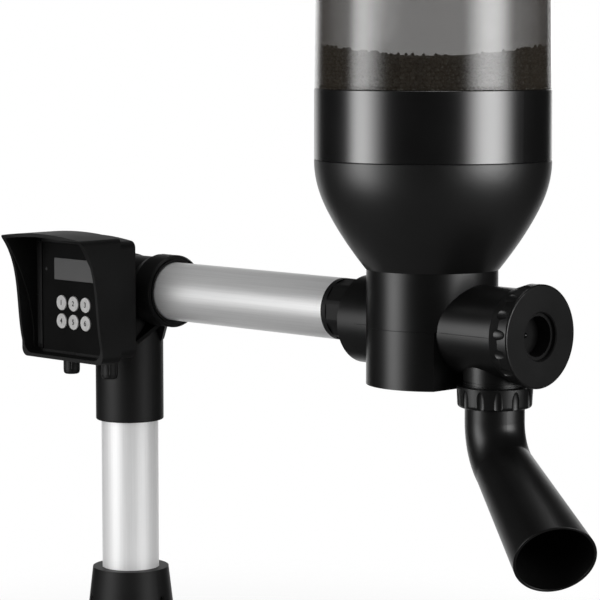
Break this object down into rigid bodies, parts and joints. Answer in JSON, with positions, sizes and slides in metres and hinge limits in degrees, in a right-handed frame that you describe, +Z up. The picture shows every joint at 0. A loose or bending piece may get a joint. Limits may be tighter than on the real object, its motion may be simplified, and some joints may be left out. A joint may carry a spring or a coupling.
{
  "type": "automatic pet feeder",
  "caption": "Post-mounted automatic pellet feeder: smoky hopper on an auger housing with a swivelling spout, held by an arm, with a hooded keypad controller.",
  "frame": {"origin": "centre of the foot's underside, on the post's axis", "axes": "+Z up the post, +X along the arm from the post to the hopper, -Y the front, where the controller's keys face"},
  "size_m": [0.6298, 0.197, 0.7806],
  "materials": {
    "black_shell": "satin moulded black plastic",
    "hopper_black": "semi-gloss moulded black plastic",
    "pipe": "satin anodised aluminium",
    "hopper_smoke": "clear smoke-tinted plastic, glossy",
    "rubber": "matt black rubber",
    "steel": "plain steel screws, shafts and cans",
    "black_screw": "blackened steel screws",
    "keypad": "fine-grained black keypad sheet",
    "key_grey": "pale grey soft-touch keys",
    "display": "grey display window",
    "display_module": "grey display module",
    "led": "small tinted lamp",
    "board": "green circuit board",
    "switch": "black switch bodies",
    "brass_bush": "sintered bronze bush",
    "auger_plastic": "natural nylon screw",
    "feed": "dark feed pellets; wood stands in for their bulk density"
  },
  "bodies": {
    "frame": {"foot_flange": "black_shell", "foot_set_screws": "black_screw", "post_tube": "pipe", "elbow_fitting": "black_shell", "elbow_set_screws": "black_screw", "arm_tube": "pipe", "arm_adapter": "black_shell", "arm_gasket": "rubber", "arm_lock_nut": "black_shell", "controller_back": "black_shell", "controller_gasket": "rubber", "controller_cover": "black_shell", "controller_hood": "black_shell", "cover_screws": "black_screw", "keypad_panel": "keypad", "lcd_window": "display", "lcd_module": "display_module", "status_led": "led", "tact_switches": "switch", "circuit_board": "board", "board_screws": "steel", "controller_bracket": "black_shell", "bracket_screws": "black_screw", "gland_bodies": "black_shell", "gland_seals": "rubber", "hopper_tube": "hopper_smoke", "hopper_collar": "hopper_black", "hopper_funnel": "hopper_black", "funnel_screws": "steel", "feed_pellets": "feed", "auger_housing": "hopper_black", "auger_barrel": "hopper_black", "outlet_stub": "hopper_black", "bottom_cover": "hopper_black", "bottom_cover_screws": "black_screw", "gearbox": "steel", "drive_motor": "steel", "motor_screws": "steel", "shaft_seal": "rubber", "auger_bush": "brass_bush", "end_plug": "hopper_black", "end_seal": "rubber", "outlet_seal": "rubber"},
    "auger_drive": {"auger": "auger_plastic", "output_shaft": "steel"},
    "cap_ring": {"end_cap_nut": "hopper_black"},
    "outlet_ring": {"outlet_nut": "hopper_black"},
    "spout": {"spout": "hopper_black"},
    "lid": {"hopper_lid": "hopper_black", "lid_seal": "rubber"},
    "gland_ring_left": {"gland_nut_left": "black_shell"},
    "gland_ring_right": {"gland_nut_right": "black_shell"},
    "key_1": {"button_1": "key_grey"},
    "key_2": {"button_2": "key_grey"},
    "key_3": {"button_3": "key_grey"},
    "key_4": {"button_4": "key_grey"},
    "key_5": {"button_5": "key_grey"},
    "key_6": {"button_6": "key_grey"}
  },
  "joints": [
    {"name": "auger_spin", "type": "hinge", "parent": "frame", "child": "auger_drive", "pos_m": [0.362, 0, 0.3283], "axis": [1, 0, 0], "continuous": true},
    {"name": "cap_ring_turn", "type": "hinge", "parent": "frame", "child": "cap_ring", "pos_m": [0.4629, 0, 0.3283], "axis": [1, 0, 0], "continuous": true},
    {"name": "outlet_ring_turn", "type": "hinge", "parent": "frame", "child": "outlet_ring", "pos_m": [0.4277, 0, 0.279], "axis": [0, 0, 1], "continuous": true},
    {"name": "spout_swivel", "type": "hinge", "parent": "frame", "child": "spout", "pos_m": [0.4277, 0, 0.277], "axis": [0, 0, 1], "continuous": true},
    {"name": "lid_lift", "type": "slide", "parent": "frame", "child": "lid", "axis": [0, 0, 1], "range_m": [0, 0.06]},
    {"name": "gland_left_turn", "type": "hinge", "parent": "frame", "child": "gland_ring_left", "pos_m": [-0.0203, -0.049, 0.267], "axis": [0, 0, 1], "continuous": true},
    {"name": "gland_right_turn", "type": "hinge", "parent": "frame", "child": "gland_ring_right", "pos_m": [0.0307, -0.049, 0.267], "axis": [0, 0, 1], "continuous": true},
    {"name": "key_1_press", "type": "slide", "parent": "frame", "child": "key_1", "axis": [0, 1, 0], "range_m": [0, 0.0008], "stiffness_N_per_m": 600},
    {"name": "key_2_press", "type": "slide", "parent": "frame", "child": "key_2", "axis": [0, 1, 0], "range_m": [0, 0.0008], "stiffness_N_per_m": 600},
    {"name": "key_3_press", "type": "slide", "parent": "frame", "child": "key_3", "axis": [0, 1, 0], "range_m": [0, 0.0008], "stiffness_N_per_m": 600},
    {"name": "key_4_press", "type": "slide", "parent": "frame", "child": "key_4", "axis": [0, 1, 0], "range_m": [0, 0.0008], "stiffness_N_per_m": 600},
    {"name": "key_5_press", "type": "slide", "parent": "frame", "child": "key_5", "axis": [0, 1, 0], "range_m": [0, 0.0008], "stiffness_N_per_m": 600},
    {"name": "key_6_press", "type": "slide", "parent": "frame", "child": "key_6", "axis": [0, 1, 0], "range_m": [0, 0.0008], "stiffness_N_per_m": 600}
  ]
}
